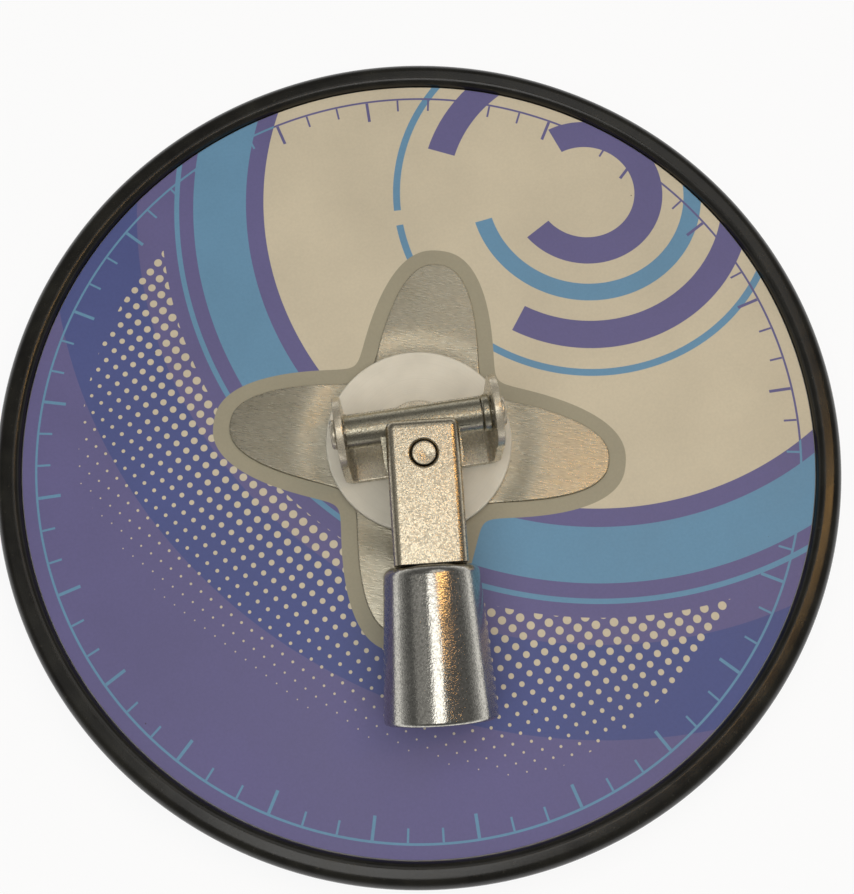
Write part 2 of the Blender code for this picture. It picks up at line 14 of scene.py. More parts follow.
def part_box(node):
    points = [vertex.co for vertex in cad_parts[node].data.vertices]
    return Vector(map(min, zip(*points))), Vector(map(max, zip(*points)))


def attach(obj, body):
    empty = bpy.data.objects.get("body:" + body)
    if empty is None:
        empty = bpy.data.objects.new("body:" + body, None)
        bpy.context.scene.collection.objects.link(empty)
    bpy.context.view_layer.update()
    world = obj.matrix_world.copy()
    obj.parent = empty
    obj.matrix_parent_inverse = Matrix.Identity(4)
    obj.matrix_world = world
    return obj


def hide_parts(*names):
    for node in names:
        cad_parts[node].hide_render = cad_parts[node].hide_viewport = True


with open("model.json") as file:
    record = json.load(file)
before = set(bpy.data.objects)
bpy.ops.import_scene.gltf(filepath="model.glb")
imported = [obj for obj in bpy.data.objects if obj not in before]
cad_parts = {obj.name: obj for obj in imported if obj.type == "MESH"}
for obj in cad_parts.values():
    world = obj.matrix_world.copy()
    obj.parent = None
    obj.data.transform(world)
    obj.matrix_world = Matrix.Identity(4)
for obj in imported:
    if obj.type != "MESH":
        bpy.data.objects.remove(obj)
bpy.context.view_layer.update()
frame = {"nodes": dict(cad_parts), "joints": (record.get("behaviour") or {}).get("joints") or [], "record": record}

MM = 0.001
WELD = 0.002 * MM
SEAT = 0.3 * MM  # between two pieces that touch
SHARP_EDGE = math.radians(38)

# Photograph's camera
PHOTO_HEIGHT = 894  # pixels, the long side
PHOTO_FOCUS = 1145.9  # focal length in pixels
SENSOR = 36.0
EYE = Vector((-8.8, -73.2, 317.4)) * MM
TARGET = Vector((2.02, -1.49, 15.9)) * MM
CLIP_START = 10 * MM

# Steps round a turn, and round a rounded corner
WIDE_TURN = 288
SMALL_TURN = 72
FINE_TURN = 48
THREAD_TURN = 36
CORNER = 6
RING_CORNER = 10
WASHER_CORNER = 4
TAPE_CORNER = 3
BEND_CORNER = 9

# Places that the frame gives
JOINTS = {joint["name"]: joint for joint in frame["joints"]}
MOUNTS = {mount["name"]: mount for mount in frame["record"]["mounts"]}
PIN = Vector(JOINTS["pole_lift"]["pos_m"])
RIVET = Vector(JOINTS["pole_sway"]["pos_m"])
FOLD = math.atan2(PIN.z - RIVET.z, PIN.y - RIVET.y)
YAW = math.asin(MOUNTS["pole_seat"]["axis"][0])
BRACKET_FRAME = Matrix.Translation((0, 0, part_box("clevis_bracket")[0].z))
PIN_FRAME = Matrix.Translation(PIN)
TEE_FRAME = PIN_FRAME @ Matrix.Rotation(FOLD, 4, "X")
NECK_FRAME = Matrix.Translation(RIVET) @ Matrix.Rotation(FOLD, 4, "X") @ Matrix.Rotation(YAW, 4, "Z")
ALONG_X = Matrix.Rotation(math.pi / 2, 4, "Y")
ALONG_MINUS_Y = Matrix.Rotation(math.pi / 2, 4, "X")
SECTION_IN_XZ = Matrix.Rotation(math.pi / 2, 4, "X")
OUTLINE_IN_YZ = Matrix.Rotation(math.pi / 2, 4, "Z") @ Matrix.Rotation(math.pi / 2, 4, "X")

# Round head
RING_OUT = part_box("bumper_ring")[1].x
RING_LOW, RING_TOP = (corner.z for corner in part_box("bumper_ring"))
RING_ROUND = 3.3 * MM
RING_INNER_ROUND = 2.0 * MM
RING_LIP_ROUND = 0.4 * MM
MOULD_LINE = 0.12 * MM
DISC_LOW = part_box("backing_disc")[0].z
DISC_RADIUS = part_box("backing_disc")[1].x
FACE_LOW, FACE_TOP = (corner.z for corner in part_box("face_label"))
FACE_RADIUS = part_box("face_label")[1].x
RING_IN = FACE_RADIUS + SEAT
PLATE_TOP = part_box("lobed_plate")[1].z
PLATE_ROUND = 0.3 * MM
PLATE_PRESS = 0.7 * MM  # how far the plate is pressed down round the hub
PRESS_START = 0.5 * MM  # past the hub's edge
PRESS_END = 8.5 * MM  # past the hub's edge
WINDOW_GAP = 0.06 * MM
PAD_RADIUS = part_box("foam_pad")[1].x
PAD_LOW, PAD_TOP = (corner.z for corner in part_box("foam_pad"))
PAD_WELL = 14.3 * MM
PAD_BULGE = 0.5 * MM
PAD_ROUND = 1.2 * MM
PAD_LUMP = 6 * MM
PAD_LUMP_HEIGHT = 0.18 * MM
PAD_LUMP_INSET = 0.2 * MM
HOOK_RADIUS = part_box("hook_sheet")[1].x
HOOK_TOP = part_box("hook_sheet")[1].z
HOOK_BACKING = 0.5 * MM
HOOK_EDGE = 0.1 * MM
HOOK_SPACING = 3.0 * MM
HOOK_MARGIN = 2 * HOOK_SPACING / 3
HOOK_STEM = 0.22 * MM
HOOK_TAPER = 0.12
HOOK_TIP_SHARE = 0.45

# Lobes of the plate
LOBE_REACH = 51.5 * MM
LOBE_HALF_WIDTH = 14.8 * MM
LOBE_FULLNESS = 2.4
LOBE_BLEND = 5.0
LOBE_TURN = math.radians(-14.4)
BORDER_WIDTH = 4.6 * MM
BORDER_BLEND = 12.0

# Swivel
BOLT_HOLE = 4.3 * MM
HUB_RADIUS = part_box("thrust_washer")[1].x
HUB_LOW, HUB_TOP = (corner.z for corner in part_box("thrust_washer"))
HUB_ROUND = 0.6 * MM
BUSH_LOW, BUSH_TOP = (corner.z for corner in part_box("swivel_bush"))
BUSH_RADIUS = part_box("swivel_bush")[1].x
CAP_LOW, CAP_TOP = (corner.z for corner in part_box("cap_washer"))
CAP_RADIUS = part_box("cap_washer")[1].x
BOLT_LOW, BOLT_TOP = (corner.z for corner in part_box("swivel_bolt"))
BOLT_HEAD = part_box("swivel_bolt")[1].x
BOLT_SHANK = 4.0 * MM
BOLT_SEAT = CAP_TOP + SEAT
BOLT_CROWN = 0.9 * MM
BOLT_UNDER_ROUND = 0.2 * MM
BOLT_TIP_ROUND = 0.5 * MM
WASHER_EDGE = 0.3 * MM
BOLT_KEY = 5.0 * MM
BOLT_KEY_DEPTH = 1.8 * MM
BOLT_KEY_SIDES = 6

# Bracket and cross pin
EAR_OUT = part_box("clevis_bracket")[1].x
SHEET = 2.0 * MM
BEND = 1.8 * MM
BRACKET_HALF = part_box("clevis_bracket")[1].y
BRACKET_EDGE = 0.35 * MM
PIN_RADIUS = 2.8 * MM
PIN_HEAD = 3.8 * MM
PIN_HEAD_ROUND = 0.7 * MM
PIN_SEAT_ROUND = 0.15 * MM
PIN_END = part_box("cross_pin")[1].x
PIN_HOLE = PIN_RADIUS + SEAT
SPACER_IN, SPACER_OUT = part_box("spacer_washer")
SPACER_ROUND = 0.5 * MM

# Tee, neck and rivet
SLEEVE_RADIUS = 4.25 * MM
SLEEVE_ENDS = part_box("swivel_tee")[0].x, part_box("swivel_tee")[1].x
TONGUE_ROUND = 10.0 * MM
TONGUE_HALF = 3.2 * MM
TEE_EDGE = 0.3 * MM
KNUCKLE = (PIN - RIVET).length
NECK_WIDTH = 18.2 * MM
NECK_ROUND = 2.2 * MM
NECK_EDGE = 0.18 * MM
NECK_LENGTH = 27.2 * MM
TINE_REACH = 8.6 * MM
SLOT_HALF = 4.6 * MM
SLOT_DEPTH = 10.6 * MM
RIVET_RADIUS = 2.95 * MM
RIVET_HOLE = RIVET_RADIUS + SEAT
RIVET_CHAMFER = 0.45 * MM
RIVET_PROUD = 0.25 * MM
RIVET_DINT = 0.16 * MM
RIVET_DINT_PLACE = Vector((0.7, -0.5)) * MM
RIVET_DINT_REACH = 1.5 * MM
SPIGOT_RADIUS = 5.5 * MM

# Pole socket
SHOULDER_RADIUS = 11.9 * MM
MOUTH_RADIUS = 14.1 * MM
SOCKET_LENGTH = 37.8 * MM
SHOULDER_ROUND = 2.4 * MM
MOUTH_ROUND = 1.0 * MM
SOCKET_FLOOR = 4.5 * MM
THREAD_PITCH = 5.08 * MM
THREAD_MAJOR = 9.75 * MM
THREAD_MINOR = 7.1 * MM
THREAD_FLAT = 1.8 * MM
THREAD_FLANK = math.radians(14.5)
RELIEF_LENGTH = 6.0 * MM
ENTRY_RADIUS = 10.3 * MM
ENTRY_DEPTH = 3.0 * MM
ENTRY_ROUND = 0.4 * MM
OVERCUT = 4.0 * MM

# Printed face: a cream field swept by arcs about one centre, on indigo, with a plain scale at the rim
SWEEP_CENTRE = 58 * MM, 66 * MM
FIELD_RADIUS = 92 * MM
SKY_BAND = 97 * MM, 112 * MM
SKY_LINE = 116 * MM, 117.4 * MM
# The darker blue band is print blue, darkened further as painted shade
DEEP_BAND = 128 * MM, 152 * MM
PRINT_EDGE = 0.12 * MM
DOT_PITCH = 3.4 * MM
DOT_START, DOT_END = 121 * MM, 163 * MM
DOT_LARGE, DOT_SMALL = 1.15 * MM, 0.15 * MM
DOT_LIMIT = 92 * MM  # from the head's centre
SCALE_TICKS = 72
SCALE_LONG = 3  # every third tick is a long one
SCALE_RADIUS = 103 * MM
SCALE_RULE = 0.6 * MM
SHORT_TICK, SHORT_TICK_HALF = 3.5 * MM, 0.28 * MM
LONG_TICK, LONG_TICK_HALF = 6 * MM, 0.42 * MM
SPECK_SPACING = 13 * MM
SPECK_SIZE, SPECK_EDGE = 0.016, 0.01  # as shares of the spacing

# Other finishes
BRUSHED_LIE = math.radians(-20)
RUB_RADIUS, RUB_EDGE = 23 * MM, 2 * MM
TAPE_THREAD = 0.62 * MM
PALE_CRYSTAL, DULL_CRYSTAL = 1.16, 0.80  # as shares of the plating's tint
NOISE_LOW, NOISE_HIGH = 0.3, 0.7  # where most values of a noise lie

# Stage
FLOOR_HALF = 60.0
FLOOR_DROP = 0.05 * MM
FLOOR_WHITE = 0.86  # the rest of the floor takes the shadow
SKY_DIM, SKY_PALE, SKY_DIM_FROM = 0.12, 0.50, 0.42
HORIZON_GLOW, HORIZON_GLOW_TO = 0.46, 0.10
LAMP_AIM = Vector((0, 0, 0.02))


def srgb(red, green, blue):
    """A colour written as it looks on a screen, 0 to 255, as the linear colour that a shader takes."""
    def linear(value):
        share = value / 255
        return share / 12.92 if share <= 0.04045 else ((share + 0.055) / 1.055) ** 2.4

    return linear(red), linear(green), linear(blue), 1


INDIGO = srgb(95, 91, 132)
# Print blue, made darker than the indigo as painted shade
INDIGO_BLUE_AND_SHADE = srgb(74, 82, 130)
SKY = srgb(96, 136, 164)
CREAM = srgb(190, 180, 157)
BORDER = srgb(146, 140, 120)
WHITE = (1, 1, 1, 1)
FLOOR_GREY = (0.8, 0.8, 0.8, 1)

# Arcs on the cream field: inner and outer radius, the bearings that they run between, and the ink
FIELD_ARCS = (
    (14 * MM, 22 * MM, -2.6, 1.9, INDIGO),
    (28 * MM, 33 * MM, -3.0, 0.4, SKY),
    (39 * MM, 47 * MM, -2.2, 2.7, INDIGO),
    (53 * MM, 55 * MM, -3.1, 3.1, SKY),
)


class Wire:
    """A socket in a node tree; arithmetic on it adds Math nodes."""

    def __init__(self, paint, socket):
        self.paint = paint
        self.socket = socket

    def __add__(self, other):
        return self.paint.math("ADD", self, other)

    def __radd__(self, other):
        return self.paint.math("ADD", other, self)

    def __sub__(self, other):
        return self.paint.math("SUBTRACT", self, other)

    def __rsub__(self, other):
        return self.paint.math("SUBTRACT", other, self)

    def __mul__(self, other):
        return self.paint.math("MULTIPLY", self, other)

    def __rmul__(self, other):
        return self.paint.math("MULTIPLY", other, self)

    def __truediv__(self, other):
        return self.paint.math("DIVIDE", self, other)

    def __rtruediv__(self, other):
        return self.paint.math("DIVIDE", other, self)

    def __pow__(self, other):
        return self.paint.math("POWER", self, other)

    def __rpow__(self, other):
        return self.paint.math("POWER", other, self)

    def __abs__(self):
        return self.paint.math("ABSOLUTE", self)


class Paint:
    """A material, or the world, while its nodes are laid."""

    def __init__(self, owner):
        owner.use_nodes = True
        self.owner = owner
        self.tree = owner.node_tree
        self.tree.nodes.clear()

    def node(self, kind, settings, sockets, out=0):
        made = self.tree.nodes.new(kind)
        for name, value in settings.items():
            setattr(made, name, value)
        for name, value in sockets.items():
            if isinstance(value, Wire):
                self.tree.links.new(value.socket, made.inputs[name])
            else:
                made.inputs[name].default_value = value
        return Wire(self, made.outputs[out]) if made.outputs else None

    def math(self, operation, first, second=0.0, clamp=False):
        settings = {"operation": operation, "use_clamp": clamp}
        return self.node("ShaderNodeMath", settings, {0: first, 1: second})

    def mix(self, mask, first, second):
        return self.node("ShaderNodeMix", {"data_type": "RGBA"}, {0: mask, 6: first, 7: second}, out=2)

    def place(self):
        """Where a point lies in its piece's own frame."""
        return self.node("ShaderNodeTexCoord", {}, {}, out="Object")

    def split(self, vector):
        parts = self.node("ShaderNodeSeparateXYZ", {}, {0: vector})
        return parts, Wire(self, parts.socket.node.outputs[1]), Wire(self, parts.socket.node.outputs[2])

    def join(self, x, y, z):
        return self.node("ShaderNodeCombineXYZ", {}, {0: x, 1: y, 2: z})

    def grain(self, vector, size, detail=3.0, rough=0.5):
        """Cloudy values from 0 to 1, with clouds of about that size."""
        sockets = {"Vector": vector, "Scale": 1 / size, "Detail": detail, "Roughness": rough}
        return self.node("ShaderNodeTexNoise", {}, sockets, out=0)

    def cells(self, vector, size, out="Distance"):
        return self.node("ShaderNodeTexVoronoi", {}, {"Vector": vector, "Scale": 1 / size}, out=out)

    def spread(self, value, low, high, to_low=0.0, to_high=1.0):
        """A value between low and high, laid out over another range and held at its ends."""
        sockets = {0: value, 1: low, 2: high, 3: to_low, 4: to_high}
        return self.node("ShaderNodeMapRange", {"clamp": True}, sockets)

    def vary(self, noise_value, to_low=0.0, to_high=1.0):
        """A noise laid out over another range."""
        return self.spread(noise_value, NOISE_LOW, NOISE_HIGH, to_low, to_high)

    def repeat(self, value, period):
        """How far a value is from the middle of its repeat, as a share of the period."""
        return self.math("FRACT", value / period) - 0.5

    def inside(self, distance, edge=PRINT_EDGE):
        """1 where a distance is above nothing, 0 below, over a crisp printed edge."""
        return self.math("ADD", distance / edge, 0.5, clamp=True)

    def bump(self, height, distance, strength=1.0):
        sockets = {"Height": height, "Distance": distance, "Strength": strength}
        return self.node("ShaderNodeBump", {}, sockets)

    def surface(self, sockets):
        """The finished Principled surface."""
        shader = self.node("ShaderNodeBsdfPrincipled", {}, sockets)
        self.node("ShaderNodeOutputMaterial", {}, {"Surface": shader})
        return self.owner


def new_paint(name):
    return Paint(bpy.data.materials.new(name))


# Materials


def ring_rubber():
    """Black moulded rubber with a soft bloom, fine pores and a little dust."""
    p = new_paint("ring_rubber")
    where = p.place()
    cloud = p.grain(where, 9 * MM, 4.0)
    pores = p.grain(where, 0.5 * MM, 2.0)
    dust = p.spread(p.grain(where, 1.1 * MM, 5.0, 0.7), 0.62, 0.74)
    bloom = p.mix(p.spread(cloud, 0.35, 0.7), srgb(19, 18, 15), srgb(31, 30, 25))
    rough = p.vary(cloud, 0.15, 0.22) + 0.08 * pores
    return p.surface({
        "Base Color": p.mix(0.25 * dust, bloom, srgb(92, 88, 76)),
        "Roughness": rough,
        "Specular IOR Level": 0.5,
        "Normal": p.bump(0.5 * pores + 2 * cloud, 0.03 * MM, 0.5),
    })


def lobe_distance(p, x, y, grow, blend):
    """How far inside the lobes' grown outline a point is, measured along its own radius."""
    turn_cos, turn_sin = math.cos(LOBE_TURN), math.sin(LOBE_TURN)
    along = abs(x * turn_cos + y * turn_sin)
    across = abs(y * turn_cos - x * turn_sin)
    long, short = LOBE_REACH + grow, LOBE_HALF_WIDTH + grow
    power = -blend / LOBE_FULLNESS
    first = ((along / long) ** LOBE_FULLNESS + (across / short) ** LOBE_FULLNESS) ** power
    second = ((along / short) ** LOBE_FULLNESS + (across / long) ** LOBE_FULLNESS) ** power
    share = (first + second) ** (1 / blend)
    radius = (x * x + y * y) ** 0.5
    return radius * (share - 1)


def printed_label():
    """Satin print: cream, indigo and sky-blue arcs, a darker blue band partly of painted shade, a halftone fade, a
    rim scale and a grey border.
    """
    p = new_paint("printed_label")
    where = p.place()
    x, y, _ = p.split(where)
    radius = (x * x + y * y) ** 0.5
    angle = p.math("ARCTAN2", y, x)
    sweep_x, sweep_y = x - SWEEP_CENTRE[0], y - SWEEP_CENTRE[1]
    sweep = (sweep_x * sweep_x + sweep_y * sweep_y) ** 0.5
    bearing = p.math("ARCTAN2", sweep_y, sweep_x)

    def band(value, low, high):
        return p.inside((high - low) / 2 - abs(value - (low + high) / 2))

    field = p.inside(FIELD_RADIUS - sweep)
    # Darker blue band: print blue, its extra darkness painted shade
    colour = p.mix(band(sweep, *DEEP_BAND), INDIGO, INDIGO_BLUE_AND_SHADE)
    colour = p.mix(band(sweep, *SKY_BAND), colour, SKY)
    colour = p.mix(band(sweep, *SKY_LINE), colour, SKY)

    # Halftone dots that shrink outwards, on the indigo beyond the bands
    dot_x = p.repeat(x + y, DOT_PITCH * math.sqrt(2))
    dot_y = p.repeat(y - x, DOT_PITCH * math.sqrt(2))
    dot = (dot_x * dot_x + dot_y * dot_y) ** 0.5 * DOT_PITCH
    size = p.spread(sweep, DOT_START, DOT_END, DOT_LARGE, DOT_SMALL)
    dots = p.inside(size - dot) * p.inside(sweep - DOT_START) * p.inside(DOT_END - sweep)
    colour = p.mix(dots * p.inside(DOT_LIMIT - radius), colour, CREAM)

    # Cream field with bold arcs about its centre
    colour = p.mix(field, colour, CREAM)
    for inner, outer, start, end, ink in FIELD_ARCS:
        stroke = band(sweep, inner, outer) * p.inside((bearing - start) * sweep)
        stroke = stroke * p.inside((end - bearing) * sweep)
        colour = p.mix(stroke, colour, ink)

    # Scale round the rim
    def ticks(step, length, half_width):
        away = abs(p.repeat(angle + step / 2, step)) * step * radius
        return p.inside(half_width - away) * band(radius, SCALE_RADIUS - length, SCALE_RADIUS)

    step = 2 * math.pi / SCALE_TICKS
    short_ticks = ticks(step, SHORT_TICK, SHORT_TICK_HALF)
    long_ticks = ticks(SCALE_LONG * step, LONG_TICK, LONG_TICK_HALF)
    rule = band(radius, SCALE_RADIUS, SCALE_RADIUS + SCALE_RULE)
    scale = p.math("MAXIMUM", p.math("MAXIMUM", short_ticks, long_ticks), rule)
    colour = p.mix(scale, colour, p.mix(field, SKY, INDIGO))

    # Grey border round the window, then the print's own grain and small marks
    border = p.inside(lobe_distance(p, x, y, BORDER_WIDTH, BORDER_BLEND))
    colour = p.mix(border, colour, BORDER)
    cloud = p.grain(where, 26 * MM, 4.0)
    fibre = p.grain(where, 0.7 * MM, 3.0)
    shade = p.vary(cloud, 0.93, 1.05) * p.vary(fibre, 0.97, 1.03)
    colour = p.node(
        "ShaderNodeVectorMath", {"operation": "MULTIPLY"}, {0: colour, 1: p.join(shade, shade, shade)}
    )
    speck = p.inside(SPECK_SIZE - p.cells(where, SPECK_SPACING), SPECK_EDGE)
    colour = p.mix(0.75 * speck, colour, srgb(58, 54, 56))
    scuff = p.spread(p.grain(p.join(x * 6, y, 0.0), 2.5 * MM, 5.0, 0.65), 0.66, 0.76)
    return p.surface({
        "Base Color": colour,
        "Roughness": p.vary(cloud, 0.42, 0.54) + 0.12 * scuff,
        "Specular IOR Level": 0.35,
        "Normal": p.bump(fibre + 2 * cloud, 0.02 * MM, 0.5),
    })


def brushed_plate():
    """Steel brushed in one direction, with fine streaks and a few deeper scratches."""
    p = new_paint("brushed_plate")
    where = p.place()
    x, y, _ = p.split(where)
    along = x * math.cos(BRUSHED_LIE) + y * math.sin(BRUSHED_LIE)
    across = y * math.cos(BRUSHED_LIE) - x * math.sin(BRUSHED_LIE)
    fine = p.grain(p.join(along / 12, across, 0.0), 0.16 * MM, 2.0)
    streak = p.grain(p.join(along / 18, across, 3 * MM), 0.30 * MM, 3.0)
    scratch = p.spread(p.grain(p.join(along / 50, across, 7 * MM), 0.45 * MM, 1.0), 0.74, 0.80)
    stain = p.grain(where, 14 * MM, 4.0)
    colour = p.mix(p.vary(fine), srgb(178, 171, 150), srgb(214, 207, 187))
    colour = p.mix(0.35 * p.spread(stain, 0.5, 0.75), colour, srgb(168, 158, 130))
    return p.surface({
        "Base Color": p.mix(0.35 * scratch, colour, srgb(128, 120, 100)),
        "Metallic": 1.0,
        "Roughness": p.vary(streak, 0.24, 0.36),
        "Normal": p.bump(fine + 0.6 * streak - 0.5 * scratch, 0.03 * MM, 1.0),
    })


def zinc_plate(name, tint, rough, relief, crystal, metal=1.0):
    """Plated metal whose fine crystals catch the light one by one."""
    p = new_paint(name)
    where = p.place()
    sparkle, lean, _ = p.split(p.cells(where, crystal, out="Color"))
    cloud = p.grain(where, 7 * MM, 4.0)
    frost = p.grain(where, crystal, 2.0)
    pale = tuple(min(1, value * PALE_CRYSTAL) for value in tint[:3]) + (1,)
    dull = tuple(value * DULL_CRYSTAL for value in tint[:3]) + (1,)
    colour = p.mix(p.vary(cloud), tint, pale)
    wear = p.vary(cloud, -0.02, 0.03)
    return p.surface({
        "Base Color": p.mix(p.spread(sparkle, 0.35, 1.0), colour, dull),
        "Metallic": metal,
        "Roughness": rough * p.spread(sparkle, 0.0, 1.0, 0.75, 1.25) + wear,
        "Normal": p.bump(frost + 0.2 * lean, relief, 1.0),
    })


def hub_plastic():
    """Off-white moulded plastic, rubbed in faint rings where the bracket turns on it."""
    p = new_paint("hub_plastic")
    where = p.place()
    x, y, _ = p.split(where)
    radius = (x * x + y * y) ** 0.5
    mould = p.grain(where, 0.45 * MM, 3.0)
    cloud = p.grain(where, 8 * MM, 4.0)
    rings = p.grain(p.join(radius, 0.0, 0.0), 0.5 * MM, 3.0, 0.7)
    rub = p.spread(rings, 0.52, 0.7) * p.inside(RUB_RADIUS - radius, RUB_EDGE)
    colour = p.mix(p.vary(cloud), srgb(198, 192, 176), srgb(210, 204, 188))
    return p.surface({
        "Base Color": p.mix(0.22 * rub, colour, srgb(150, 144, 128)),
        "Roughness": 0.52 + 0.12 * mould - 0.1 * rub,
        "Specular IOR Level": 0.4,
        "Normal": p.bump(mould + 0.5 * rings, 0.025 * MM, 0.6),
    })


def bush_brass():
    """Turned brass, tarnished in patches."""
    p = new_paint("bush_brass")
    where = p.place()
    lathe = p.grain(where, 0.3 * MM, 2.0)
    tarnish = p.grain(where, 4 * MM, 4.0)
    colour = p.mix(p.spread(tarnish, 0.4, 0.7), srgb(206, 176, 110), srgb(160, 128, 74))
    return p.surface({
        "Base Color": colour,
        "Metallic": 1.0,
        "Roughness": 0.3 + 0.15 * tarnish,
        "Normal": p.bump(lathe, 0.02 * MM, 0.6),
    })


def open_foam():
    """Charcoal cut foam: a field of small open cells, with painted shade darkening each cell's hollow."""
    p = new_paint("foam")
    where = p.place()
    cell = p.cells(where, 0.9 * MM)
    cloud = p.grain(where, 7 * MM, 4.0)
    pit_and_shade = p.spread(cell, 0.15, 0.6)
    # Painted shade: each cell's hollow is painted darker than the foam
    colour = p.mix(pit_and_shade, srgb(40, 40, 43), srgb(84, 84, 88))
    return p.surface({
        "Base Color": p.mix(0.3 * cloud, colour, srgb(62, 62, 66)),
        "Roughness": 0.88 + 0.08 * cloud,
        "Specular IOR Level": 0.2,
        "Sheen Weight": 0.15,
        "Normal": p.bump(pit_and_shade, 0.25 * MM, 0.9),
    })


def hook_tape(name, dark, pale):
    """Nylon with a tight plain weave and a soft sheen, and painted shade in the gaps between its threads."""
    p = new_paint(name)
    where = p.place()
    x, y, _ = p.split(where)
    warp = abs(p.repeat(x, TAPE_THREAD))
    weft = abs(p.repeat(y, TAPE_THREAD))
    weave = p.math("MAXIMUM", warp, weft)
    cloud = p.grain(where, 5 * MM, 4.0)
    # Painted shade: the gaps between the threads take the darker colour
    colour = p.mix(p.spread(weave, 0.2, 0.5), pale, dark)
    return p.surface({
        "Base Color": p.mix(0.4 * p.spread(cloud, 0.4, 0.7), colour, pale),
        "Roughness": 0.55 + 0.25 * cloud,
        "Specular IOR Level": 0.35,
        "Sheen Weight": 0.2,
        "Normal": p.bump(0.5 - weave, 0.12 * MM, 0.7),
    })


def moulded_plastic(name, dark, pale, rough):
    """Plain plastic with a fine mould grain."""
    p = new_paint(name)
    where = p.place()
    mould = p.grain(where, 0.6 * MM, 3.0)
    cloud = p.grain(where, 9 * MM, 4.0)
    return p.surface({
        "Base Color": p.mix(p.vary(cloud), dark, pale),
        "Roughness": rough + 0.12 * mould,
        "Specular IOR Level": 0.4,
        "Normal": p.bump(mould, 0.03 * MM, 0.6),
    })


# Mesh tools


def link(name, mesh):
    piece = bpy.data.objects.new(name, mesh)
    bpy.context.scene.collection.objects.link(piece)
    return piece


def from_form(name, form):
    mesh = bpy.data.meshes.new(name)
    bmesh.ops.recalc_face_normals(form, faces=form.faces)
    form.to_mesh(mesh)
    form.free()
    return link(name, mesh)


def lofted(name, rings, closed=True):
    """A skin over rings of points; a ring of one point closes an end, and a closed run meets itself."""
    form = bmesh.new()
    rows = [[form.verts.new(point) for point in ring] for ring in rings]
    count = max(len(row) for row in rows)
    pairs = list(zip(rows, rows[1:]))
    if closed:
        pairs.append((rows[-1], rows[0]))
    for first, second in pairs:
        for k in range(count):
            corners = []
            for row, place in ((first, k), (second, k), (second, k + 1), (first, k + 1)):
                corner = row[place % len(row)]
                if corner not in corners:
                    corners.append(corner)
            form.faces.new(corners)
    return from_form(name, form)


def round_ring(radius, height, steps):
    if radius < WELD:
        return [Vector((0, 0, height))]
    turn = 2 * math.pi / steps
    return [
        Vector((radius * math.cos(k * turn), radius * math.sin(k * turn), height)) for k in range(steps)
    ]


def turned(name, profile, steps=SMALL_TURN, closed=True):
    """A profile of (radius, height) points turned about Z."""
    return lofted(name, [round_ring(radius, height, steps) for radius, height in profile], closed)


def rounded(corners, steps=CORNER):
    """The points of a closed outline whose corners (x, y, radius) are rounded."""
    points = []
    for i, (x, y, radius) in enumerate(corners):
        if not radius:
            points.append((x, y))
            continue
        before, after = corners[i - 1], corners[(i + 1) % len(corners)]
        back = math.atan2(before[1] - y, before[0] - x)
        ahead = math.atan2(after[1] - y, after[0] - x)
        between = (ahead - back + math.pi) % (2 * math.pi) - math.pi
        middle = back + between / 2
        reach = radius / abs(math.sin(between / 2))
        centre = (x + reach * math.cos(middle), y + reach * math.sin(middle))
        sweep = math.copysign(math.pi - abs(between), between)
        for step in range(steps + 1):
            angle = middle + math.pi + sweep * (0.5 - step / steps)
            points.append((centre[0] + radius * math.cos(angle), centre[1] + radius * math.sin(angle)))
    return points


def washer(name, inner, outer, low, high, edge, steps=SMALL_TURN):
    corners = [(outer, high, edge), (outer, low, edge), (inner, low, edge / 2), (inner, high, edge / 2)]
    return turned(name, rounded(corners, WASHER_CORNER), steps)


def arc(radius, centre, start, end, steps):
    return [
        (
            centre[0] + radius * math.cos(start + (end - start) * k / steps),
            centre[1] + radius * math.sin(start + (end - start) * k / steps),
        )
        for k in range(steps + 1)
    ]


def prism(name, outline, thickness):
    """A flat outline with its thickness centred on Z = 0."""
    form = bmesh.new()
    low = [form.verts.new((x, y, -thickness / 2)) for x, y in outline]
    high = [form.verts.new((x, y, thickness / 2)) for x, y in outline]
    form.faces.new(low)
    form.faces.new(high)
    for k in range(len(outline)):
        after = (k + 1) % len(outline)
        form.faces.new((low[k], low[after], high[after], high[k]))
    return from_form(name, form)


def bar(name, radius, length, sides=FINE_TURN):
    half = length / 2
    profile = [(0, half), (radius, half), (radius, -half), (0, -half)]
    return turned(name, profile, sides, closed=False)


def settled(piece):
    """Works a piece's modifiers into its mesh."""
    bpy.context.view_layer.update()
    shape = piece.evaluated_get(bpy.context.evaluated_depsgraph_get())
    mesh = bpy.data.meshes.new_from_object(shape)
    old = piece.data
    piece.modifiers.clear()
    piece.data = mesh
    bpy.data.meshes.remove(old)


def shaped(piece, tool, matrix, operation="DIFFERENCE"):
    """Cuts a piece by a tool, or joins or trims it to one, and uses the tool up."""
    tool.data.transform(matrix)
    step = piece.modifiers.new("shape", "BOOLEAN")
    step.operation = operation
    step.solver = "EXACT"
    step.object = tool
    settled(piece)
    bpy.data.objects.remove(tool)


def softened(piece, width, segments=2):
    """Breaks every sharp edge with a small round."""
    edge = piece.modifiers.new("edge", "BEVEL")
    edge.width = width
    edge.segments = segments
    edge.limit_method = "ANGLE"
    edge.angle_limit = SHARP_EDGE
    settled(piece)


def stands_for(piece, node, body, material, matrix=None):
    """Finishes a piece: its place, shading, finish and body, and the node that it stands for."""
    if matrix:
        piece.data.transform(matrix)
    piece.data.shade_smooth()
    piece.data.set_sharp_from_angle(angle=SHARP_EDGE)
    even = piece.modifiers.new("even_shading", "WEIGHTED_NORMAL")
    even.keep_sharp = True
    piece.data.materials.clear()
    piece.data.materials.append(material)
    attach(piece, body)
    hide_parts(node)


# Round head


